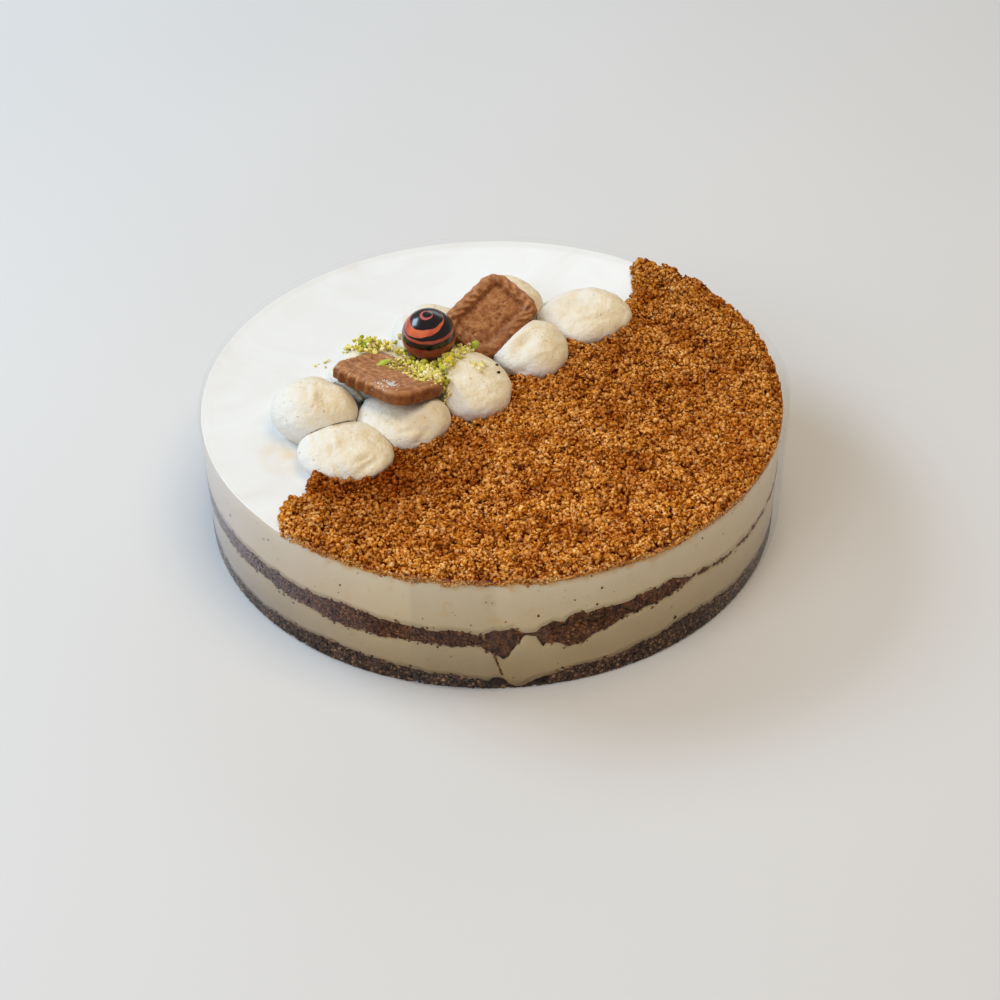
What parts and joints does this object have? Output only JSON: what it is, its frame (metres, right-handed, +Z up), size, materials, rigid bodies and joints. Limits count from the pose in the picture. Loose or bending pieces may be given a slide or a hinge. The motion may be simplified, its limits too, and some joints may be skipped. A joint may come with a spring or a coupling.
{
  "type": "mousse cake",
  "caption": "Round biscuit mousse cake in a clear collar, crumbed over half its top, with piped cream, biscuits, a chocolate ball and chopped pistachio.",
  "frame": {"origin": "middle of the cake's underside, on the axis of its round body", "axes": "+Z up, +Y away from the side that faces the viewer, +X to the viewer's right"},
  "size_m": [0.2655, 0.2621, 0.0912],
  "materials": {
    "base_crumb": "rough",
    "lower_mousse": "satin",
    "middle_crumb": "rough",
    "upper_mousse": "glossy",
    "clear_film": "clear",
    "piped_cream": "satin",
    "topping_crumb": "rough",
    "baked_biscuit": "rough",
    "dark_chocolate": "glossy"
  },
  "bodies": {
    "root": {"crumb_base": "base_crumb", "lower_mousse": "lower_mousse", "crumb_middle": "middle_crumb", "upper_mousse": "upper_mousse", "clear_collar": "clear_film", "cream_front_1": "piped_cream", "cream_front_2": "piped_cream", "cream_front_3": "piped_cream", "cream_front_4": "piped_cream", "cream_front_5": "piped_cream", "cream_back_1": "piped_cream", "cream_back_2": "piped_cream", "cream_back_3": "piped_cream", "cream_back_4": "piped_cream", "crumb_topping": "topping_crumb", "biscuit_left": "baked_biscuit", "biscuit_right": "baked_biscuit", "chocolate_ball": "dark_chocolate"}
  },
  "joints": []
}
